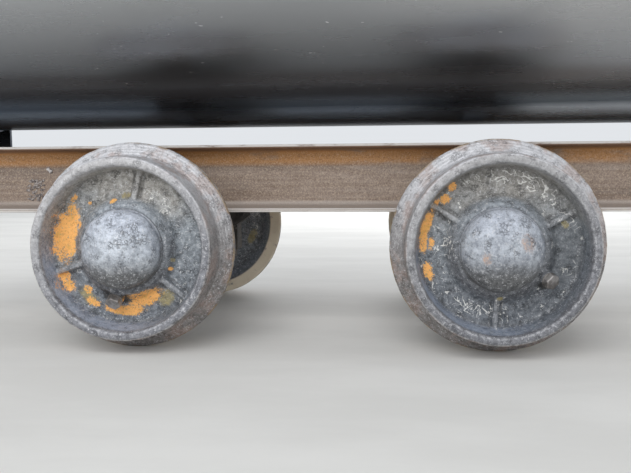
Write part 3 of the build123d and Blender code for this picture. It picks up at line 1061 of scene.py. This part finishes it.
down, upwards = Vector((0, 0, -1)), Vector((0, 0, 1))
random.seed(7)
for place in wheels:
    low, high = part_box("axle_keeper_" + place)
    washer, radius = boltLook["keeperWasher"], boltLook["keeperWasherRadius"]
    flats, head = boltLook["keeperFlats"], boltLook["keeperHead"]
    parts = []
    for aside in (-1, 1):
        x = (low.x + high.x) / 2 + aside * boltLook["keeperPlace"]
        y = (low.y + high.y) / 2
        under = Vector((x, y, low.z))
        over = Vector((x, y, high.z + boltLook["seatRim"]))
        length = over.z - under.z + boltLook["keeperPast"]
        parts += [
            addDisc(radius, washer, under, down),
            addHex(flats, head, under + down * washer, down, random.random()),
            addHex(flats, head, over, upwards, random.random()),
            addDisc(boltLook["keeperShank"], length, under, upwards, boltLook["shankRound"]),
        ]
    dress(joinPieces(parts, wheelName(place, "KeeperBolts")), "frame", boltSteel)
for end, way in (("front", 1), ("rear", -1)):
    low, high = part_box("buffer_" + end)
    root = (low.x if way > 0 else high.x) + way * boltLook["bufferFlange"]
    middle = (low.z + high.z) / 2
    parts = []
    for aside in (-1, 1):
        for up in (-1, 1):
            foot = Vector((root, aside * boltLook["bufferAside"], middle + up * boltLook["bufferUp"]))
            parts.append(addHex(boltLook["bufferFlats"], boltLook["bufferHead"], foot, Vector((way, 0, 0)),
                                random.random()))
    dress(joinPieces(parts, end + "BufferBolts"), "frame", boltSteel)
print("bolts and plugs modelled")


# Tub shell: one smooth, slightly wavy plate

tubLook = {
    "radius": 0.517,
    "plate": 0.008,
    "arcSteps": 120,
    "sideSteps": 12,
    "lengthSteps": 60,
    "waviness": 0.0007,
    "waveSize": 0.5,
    "metal": 0.92,
}
tubTones = {
    "dust": (0.5, 0.48, 0.45),
    "fleck": (0.95, 0.95, 0.95),
    "scale": (0.1, 0.1, 0.105),
    "edgeTint": (0.22, 0.24, 0.27),
    "black": (0.1, 0.103, 0.11),
}
tubReflectionBands = [  # painted reflections along the tub's bottom: height, colour of the plate there, and its colour towards the front
    (0.386, (0.1, 0.11, 0.125), (0.13, 0.14, 0.15)),
    (0.393, (0.3, 0.335, 0.39), (0.62, 0.66, 0.71)),
    (0.402, (0.3, 0.335, 0.39), (0.72, 0.75, 0.8)),
    (0.410, (0.14, 0.155, 0.18), (0.22, 0.24, 0.26)),
    (0.430, (0.22, 0.24, 0.27), (0.36, 0.38, 0.4)),
    (0.452, (0.15, 0.158, 0.172), (0.36, 0.375, 0.4)),
    (0.560, (0.4, 0.41, 0.42), (0.52, 0.52, 0.52)),
]
tubZones = {
    "front": (0.26, 0.42),  # by place along the cart, for the painted reflection, lighter towards the front
    "frontHigher": (0.0, 0.3),
    "higher": (0.5, 0.56),  # by height, for the painted reflection
    "black": (0.57, 0.8),
    "scaly": (0.5, 0.62),
}


def paintedReflectionPlate(x, z, cloud):  # painted reflections: lighter and darker bands along the tub's bottom and a lighter front end, plain black higher up
    level = z + (cloud * 0.008 - 0.004)
    middle = ramp(level, [(height, colour) for height, colour, front in tubReflectionBands])
    ahead = ramp(level, [(height, front) for height, colour, front in tubReflectionBands])
    higher = rise(x, *tubZones["frontHigher"]) * rise(z, *tubZones["higher"])
    tone = mix(largest(rise(x, *tubZones["front"]), higher), middle, ahead)
    return mix(rise(z, *tubZones["black"]), tone, tubTones["black"])


def makeTubPlate(name, withPaintedReflections):
    metal = tubLook["metal"]
    material, shader, place = newMaterial(name, metallic=metal, roughness=0.2)
    feed(shader.inputs["Specular Tint"], tubTones["edgeTint"])
    x, y, z = axesOf(place)
    cloud = noise(place, 5, 5, 0.6)
    scaly = rise(noise(stretched(place, (1, 1.6, 1.6)), 9, 6, 0.66), 0.5, 0.66) * rise(z, *tubZones["scaly"])
    tone = layered(
        paintedReflectionPlate(x, z, cloud) if withPaintedReflections else tubTones["black"], tubTones,
        ("scale", 0.15, scaly),
        ("dust", 0.35, rise(noise(stretched(place, (2, 60, 60)), 4, 6, 0.7), 0.66, 0.74)),
        ("fleck", 0.8, rise(noise(stretched(place, (1, 4, 4)), 75, 2, 0.5), 0.75, 0.775)),
    )
    below = calc("MINIMUM", z - tubCentre, 0)
    inner = tubLook["radius"] - tubLook["plate"] * 0.6
    inside = rise(lengthOf(y, below), inner, inner - 0.002)
    inside = inside * rise(abs(x), shellHigh.x + 0.002, shellHigh.x + 0.0005)
    rust = useGroup(surfaceRust, place, Orange=0.03, Dark=0.02)
    streaks = noise(stretched(place, (1.2, 9, 9)), 3, 5, 0.6)
    feedAll(shader.inputs, {
        "Base Color": mix(inside, tone, rust["Colour"]),
        "Metallic": inside * -0.75 + metal,
        "Roughness": inside * 0.3 + streaks * 0.14 + cloud * 0.06 + 0.17,
    })
    bump(shader, noise(place, 240, 3, 0.6), 0.1, 0.0002)
    return material


def tubOutline(x, top, radius):  # the tub's U section at a place along the cart, from one rim to the other
    side = [Vector((x, -radius, top + (tubCentre - top) * step / tubLook["sideSteps"]))
            for step in range(tubLook["sideSteps"] + 1)]
    arc = [Vector((x, -radius * math.cos(a), tubCentre - radius * math.sin(a)))
           for a in (math.pi * step / tubLook["arcSteps"] for step in range(1, tubLook["arcSteps"]))]
    return side + arc + [Vector((point.x, -point.y, point.z)) for point in reversed(side)]


def modelShell():
    piece = drawPath(tubOutline(shellLow.x, shellHigh.z, tubLook["radius"]), "tubShell")
    step = (shellHigh.x - shellLow.x) / tubLook["lengthSteps"]
    for index in range(tubLook["lengthSteps"]):
        bpy.ops.mesh.extrude_region_move(TRANSFORM_OT_translate={"value": (step, 0, 0)})
    setMode("OBJECT")
    face = piece.data.polygons[0]
    if face.normal.y * face.center.y < 0:
        piece.data.flip_normals()
    waves = lumpy(piece, tubLook["waviness"], tubLook["waveSize"], 1)
    waves.mid_level = 0.75
    wall = piece.modifiers.new("wall", "SOLIDIFY")
    wall.thickness = tubLook["plate"] - tubLook["waviness"] / 2
    wall.offset = -1
    applyAll(piece)
    bpy.ops.object.shade_smooth_by_angle(angle=math.radians(35))
    return piece


shellLow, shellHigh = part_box("tub_shell")
tubCentre = shellLow.z + tubLook["radius"]
tubPlate = makeTubPlate("blackTubPlate", True)
fittingPaint = makeTubPlate("blackFittingPaint", False)
shell = modelShell()
dress(shell, "frame", tubPlate, ["tub_shell"])
for name in nodes:
    if name.startswith(("tub_end", "rim_bar", "saddle")):
        paintNode(name, fittingPaint)
print("tub shell modelled:", len(shell.data.polygons), "faces")


# Frame: rolled channels, plates and castings

channelLook = {
    "toe": 0.180,
    "web": 0.1325,
    "flangeTip": 0.0035,
    "top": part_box("side_channel_left")[1].z,
    "bottom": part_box("side_channel_left")[0].z,
}
channelTones = {
    "steel": (0.36, 0.295, 0.25),
    "streak": (0.23, 0.17, 0.13),
    "orange": (0.52, 0.25, 0.075),
    "speck": (0.62, 0.5, 0.38),
    "pit": (0.12, 0.07, 0.05),
    "shade": (0.1, 0.045, 0.03),
    # foot: lighter towards the foot, painted light on the bottom flange's upward faces
    "foot": (0.5, 0.46, 0.43),
    # bright: worn steel, partly a painted highlight
    "bright": (0.6, 0.57, 0.54),
}
channelZones = {
    "orange": (0.322, 0.008, 0.013),  # by height: centre, half width and fading
    "shade": (0.3295, 0.3345),  # by height
    "foot": (0.243, 0.236),
    "speck": (0.52, 0.66),  # by speckle
    "pit": (0.47, 0.33),
    "streak": (0.3, 0.7),  # by streaks
}


def makeChannelSteel():
    material, shader, place = newMaterial("rustyChannel", metallic=0.15, roughness=0.6)
    x, y, z = axesOf(place)
    top, bottom, toe = channelLook["top"], channelLook["bottom"], channelLook["toe"]
    zones = channelZones
    rust = useGroup(surfaceRust, stretched(place, (0.5, 1.4, 2.2)))
    streaks = noise(stretched(place, (1.2, 30, 42)), 3, 6, 0.65)
    speckle = noise(place, 380, 3, 0.8)
    wander = rise(noise(stretched(place, (1, 3, 3)), 9, 5, 0.65), 0.3, 0.52)
    # corners and tip: the flange toes' edges, bright worn steel with a painted highlight
    corners = largest(band(z, bottom + 0.0065, 0.0012, 0.001), band(z, bottom + 0.0015, 0.001, 0.001))
    corners = largest(corners, rise(z, top - 0.005, top - 0.003))
    tip = corners * rise(abs(y), toe - channelLook["flangeTip"], toe - 0.0015)
    worn = rise(noise(stretched(place, (1, 6, 6)), 22, 5, 0.7), 0.28, 0.5)
    colour = mix(rise(streaks, *zones["streak"]), channelTones["steel"], channelTones["streak"])
    colour = layered(
        mix(0.35, colour, rust["Colour"]), channelTones,
        ("orange", 0.85, band(z, *zones["orange"]) * wander),
        ("speck", 0.5, rise(speckle, *zones["speck"])),
        ("pit", 0.6, rise(speckle, *zones["pit"])),
        ("shade", 0.7, rise(z, *zones["shade"])),
        # painted light on the bottom flange
        ("foot", 0.5, rise(z, *zones["foot"])),
        ("bright", 1, tip * worn),
    )
    feed(shader.inputs["Base Color"], colour)
    bump(shader, streaks * 1.5 + rust["Height"], 0.35, 0.0006)
    return material


def makeRustyPlate(name, orange, dark, strength=0.4):
    material, shader, place = newMaterial(name, metallic=0.15, roughness=0.6)
    rust = useGroup(surfaceRust, place, Orange=orange, Dark=dark)
    feedAll(shader.inputs, {"Base Color": rust["Colour"], "Roughness": rust["Loose"] * 0.25 + 0.55})
    bump(shader, rust["Height"], strength, 0.0007)
    return material


def makeDarkCasting(name, base, pale, roughness):
    material, shader, place = newMaterial(name, metallic=0.2, roughness=roughness)
    grain = useGroup(castGrain, place, Scale=0.7)
    feed(shader.inputs["Base Color"], layered(
        mix(rise(grain["Blotch"], 0.4, 0.66), base, pale), rustTones,
        ("brown", 0.55, rise(noise(place, 21, 6, 0.68), 0.56, 0.68)),
        ("pale", 0.3, grain["Bright"]),
    ))
    bump(shader, grain["Height"], 0.6, 0.0009)
    return material


finishes = {
    "side_channel": makeChannelSteel(),
    "cross_member": makeRustyPlate("rustyCrossMember", 0.0, 0.06),
    "end_plate": makeRustyPlate("rustyEndPlate", 0.03, 0.0),
    "buffer": makeRustyPlate("rustyBuffer", 0.0, 0.1, 0.7),
    "axle_seat": makeDarkCasting("darkSeatCasting", (0.055, 0.052, 0.05), (0.12, 0.11, 0.1), 0.6),
    "axle_keeper": makeDarkCasting("darkKeeper", (0.07, 0.065, 0.06), (0.16, 0.14, 0.12), 0.55),
    "axle_front": makeRustyPlate("turnedAxle", -0.02, 0.04, 0.2),
    "dust_ring": makeDarkCasting("darkRing", (0.06, 0.06, 0.06), (0.13, 0.13, 0.13), 0.5),
}
finishes["axle_rear"] = finishes["axle_front"]
for name in nodes:
    for start, finish in finishes.items():
        if name.startswith(start):
            paintNode(name, finish)
print("frame finished:", len(finishes), "finishes")


# Weld beads: a chain of ripples along a path

beadLook = {
    "radius": 0.0038,
    "seamRadius": 0.0034,
    "pitch": 0.0042,
    "lumps": 0.0012,
    "stitch": 0.07,
    "stitchGap": 0.11,
    "sink": 0.001,
    "inset": 0.004,
    "webHalf": 0.005,
    "webOverlap": 0.003,
    "toeGap": 0.006,
    "cornerGap": 0.016,
    "lumpSize": 0.006,
    "strapOver": 0.0083,
    "strapFrom": 0.2,  # shares of the strap's half length
    "strapLength": 0.76,
    "strapSteps": 12,
}


def addBead(points, radius=beadLook["radius"], pitch=beadLook["pitch"]):
    points = [Vector(point) for point in points]
    length = sum((there - here).length for here, there in zip(points, points[1:]))
    clearSelection()
    bpy.ops.mesh.primitive_uv_sphere_add(segments=8, ring_count=5, radius=1, rotation=(0, math.pi / 2, 0),
                                         scale=(radius, radius, pitch * 0.85))
    bead = justAdded()
    array = bead.modifiers.new("ripples", "ARRAY")
    array.count = max(2, round(length / pitch))
    array.use_relative_offset = False
    array.use_constant_offset = True
    array.constant_offset_displace = (length / array.count, 0, 0)
    data = bpy.data.curves.new("beadPath", "CURVE")
    data.dimensions = "3D"
    spline = data.splines.new("POLY")
    spline.points.add(len(points) - 1)
    for point, place in zip(spline.points, points):
        point.co = (*place, 1)
    path = addObject("beadPath", data)
    bend = bead.modifiers.new("bend", "CURVE")
    bend.object = path
    lumpy(bead, beadLook["lumps"], beadLook["lumpSize"])
    applyAll(bead)
    bpy.ops.object.shade_smooth()
    bpy.data.objects.remove(path)
    return bead


def stitches(start, end):  # short beads with gaps between them, along a straight edge
    length = (end - start).length
    way = (end - start) / length
    place = beadLook["stitchGap"] / 2
    beads = []
    while place + beadLook["stitch"] < length:
        beads.append(addBead([start + way * place, start + way * (place + beadLook["stitch"])]))
        place += beadLook["stitch"] + beadLook["stitchGap"]
    return beads


def saddleBeads(end, channelTop):  # along the straps on the shell, and at the web's feet on the channels
    low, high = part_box("saddle_strap_" + end)
    radius = tubLook["radius"] + beadLook["sink"]
    half = math.asin(high.y / (tubLook["radius"] + beadLook["strapOver"]))
    start, share, steps = (beadLook[key] for key in ("strapFrom", "strapLength", "strapSteps"))
    beads = []
    for edge in (low.x, high.x):
        for side in (-1, 1):
            angles = [side * half * (start + share * step / steps) for step in range(steps + 1)]
            beads.append(addBead([(edge, radius * math.sin(a), tubCentre - radius * math.cos(a))
                                  for a in angles]))
    low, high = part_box("saddle_web_" + end)
    middle = (low.x + high.x) / 2
    for side in (-1, 1):
        for x in (middle - beadLook["webHalf"], middle + beadLook["webHalf"]):
            beads.append(addBead([(x, side * (channelLook["web"] - beadLook["webOverlap"]), channelTop),
                                  (x, side * (channelLook["toe"] - beadLook["inset"]), channelTop)]))
    return beads


def endPlateBeads(x, bottom, channelTop):
    beads = []
    for side in (-1, 1):
        web, toe = side * channelLook["web"], side * (channelLook["toe"] - beadLook["toeGap"])
        gap = beadLook["cornerGap"]
        beads.append(addBead([(x, web, bottom + gap), (x, web, channelTop - gap)]))
        beads.append(addBead([(x, web, channelTop), (x, toe, channelTop)]))
    return beads


def addWelds():
    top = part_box("side_channel_left")[1].z
    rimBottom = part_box("rim_bar_left")[0].z
    for end, way in (("front", 1), ("rear", -1)):
        seam = tubOutline(way * (shellHigh.x + beadLook["sink"]), rimBottom - beadLook["inset"],
                          tubLook["radius"] - beadLook["sink"])
        dress(joinPieces([addBead(seam, beadLook["seamRadius"])], end + "TubWeld"), "frame",
              fittingPaint)
        dress(joinPieces(saddleBeads(end, top), end + "SaddleWelds"), "frame", fittingPaint)
        low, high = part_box("end_plate_" + end)
        beads = endPlateBeads(low.x if way > 0 else high.x, low.z, top)
        dress(joinPieces(beads, end + "EndPlateWelds"), "frame", finishes["end_plate"])
    beads = []
    for side in ("left", "right"):
        low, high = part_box("rim_bar_" + side)
        y = low.y + tubLook["plate"] if side == "right" else high.y - tubLook["plate"]
        beads += stitches(Vector((low.x, y, low.z)), Vector((high.x, y, low.z)))
    dress(joinPieces(beads, "rimBarWelds"), "frame", fittingPaint)
    for place in wheels:
        low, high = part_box("axle_seat_" + place)
        outer, inner = (low.y, high.y) if wheels[place]["outward"] < 0 else (high.y, low.y)
        inset = beadLook["inset"]
        beads = [addBead([(low.x + inset, outer, high.z), (high.x - inset, outer, high.z)])]
        beads += [addBead([(x, outer, high.z), (x, inner, high.z)]) for x in (low.x, high.x)]
        dress(joinPieces(beads, wheelName(place, "SeatWelds")), "frame", finishes["axle_keeper"])


addWelds()


# Weld spatter and a torn tack on the near channel

scarLook = {
    "patchLow": (-0.554, 0.243),
    "patchHigh": (-0.522, 0.281),
    "lumps": 110,
    "smallest": 0.0007,
    "largest": 0.0023,
    "lumpiness": 0.0014,
    "lumpSize": 0.004,
    "tackFrom": (-0.513, 0.302),
    "tackTo": (-0.505, 0.294),
    "tackRadius": 0.0046,
    "tackPitch": 0.004,
}


def makeWeldMetal(name, dark, pale):
    material, shader, place = newMaterial(name, metallic=0.4, roughness=0.45)
    feed(shader.inputs["Base Color"], mix(rise(noise(place, 260, 4, 0.6), 0.4, 0.6), dark, pale))
    bump(shader, noise(place, 500, 3, 0.6), 0.4, 0.0004)
    return material


def addScars():
    random.seed(21)
    web = -channelLook["web"]
    low, high = scarLook["patchLow"], scarLook["patchHigh"]
    lumps = []
    for index in range(scarLook["lumps"]):
        size = random.uniform(scarLook["smallest"], scarLook["largest"])
        place = (random.uniform(low[0], high[0]), web, random.uniform(low[1], high[1]))
        turn = random.uniform(0, math.tau)
        clearSelection()
        bpy.ops.mesh.primitive_ico_sphere_add(subdivisions=2, radius=1, location=place, rotation=(0, turn, 0),
                                              scale=(size * random.uniform(1, 3), size * 0.8, size))
        lumps.append(justAdded())
    patch = joinPieces(lumps, "channelSpatter")
    lumpy(patch, scarLook["lumpiness"], scarLook["lumpSize"])
    applyAll(patch)
    bpy.ops.object.shade_smooth()
    spatter = makeWeldMetal("oldSpatter", (0.14, 0.12, 0.115), (0.4, 0.36, 0.34))
    dress(patch, "frame", spatter)
    ends = [(x, web, z) for x, z in (scarLook["tackFrom"], scarLook["tackTo"])]
    tack = joinPieces([addBead(ends, scarLook["tackRadius"], scarLook["tackPitch"])], "channelTack")
    dress(tack, "frame", makeWeldMetal("freshWeld", (0.3, 0.27, 0.26), (0.75, 0.73, 0.72)))


addScars()
print("welds and scars modelled")


# Floor, backdrop and light

stageLook = {
    "floorColour": (0.78, 0.772, 0.745),
    "floorShade": (0.72, 0.712, 0.685),
    "floorSize": 26.0,
    "skyColour": (0.93, 0.96, 1.0),
    "skySeen": 0.82,
    "horizon": 1.15,
    "zenith": 0.7,
    "zenithFrom": 0.6,
}
lampLook = {
    "front": {"place": (-0.6, -3.4, 2.6), "aim": (0, -0.3, 0.2), "size": 3.0, "power": 90},
    "behind": {"place": (0.3, 3.6, 1.9), "aim": (0, 0.4, 0), "size": 3.0, "power": 60},
}


def addStage():
    clearSelection()
    bpy.ops.mesh.primitive_plane_add(size=stageLook["floorSize"], location=(0, 0, 0))
    floor = bpy.context.object
    floor.name = "paleFloor"
    material, shader, place = newMaterial("paleConcrete", roughness=0.8)
    cloudy = rise(noise(stretched(place, (1, 2.6, 1)), 1.7, 6, 0.6), 0.35, 0.65)
    feed(shader.inputs["Base Color"], mix(cloudy, stageLook["floorShade"], stageLook["floorColour"]))
    bump(shader, noise(place, 120, 4, 0.6), 0.15, 0.001)
    floor.data.materials.append(material)


def addLight():
    world = bpy.data.worlds.new("paleSky")
    bpy.context.scene.world = world
    world.use_nodes = True
    work["tree"] = world.node_tree
    height = rise(axesOf(addNode("ShaderNodeTexCoord", "Generated", {}))[2], 0.0, stageLook["zenithFrom"])
    shine = height * (stageLook["zenith"] - stageLook["horizon"]) + stageLook["horizon"]
    seen = addNode("ShaderNodeLightPath", "Is Camera Ray", {})
    feedAll(world.node_tree.nodes["Background"].inputs, {
        "Color": stageLook["skyColour"],
        "Strength": shine * (1 - seen) + seen * stageLook["skySeen"],
    })
    for name, look in lampLook.items():
        data = bpy.data.lights.new(name, "AREA")
        data.shape = "SQUARE"
        data.size = look["size"]
        data.energy = look["power"]
        lamp = addObject(name, data)
        lamp.location = look["place"]
        aim = Vector(look["aim"]) - Vector(look["place"])
        lamp.rotation_euler = aim.to_track_quat("-Z", "Y").to_euler()


addStage()
addLight()
bpy.context.scene.view_settings.view_transform = "Standard"
print("stage and light set")
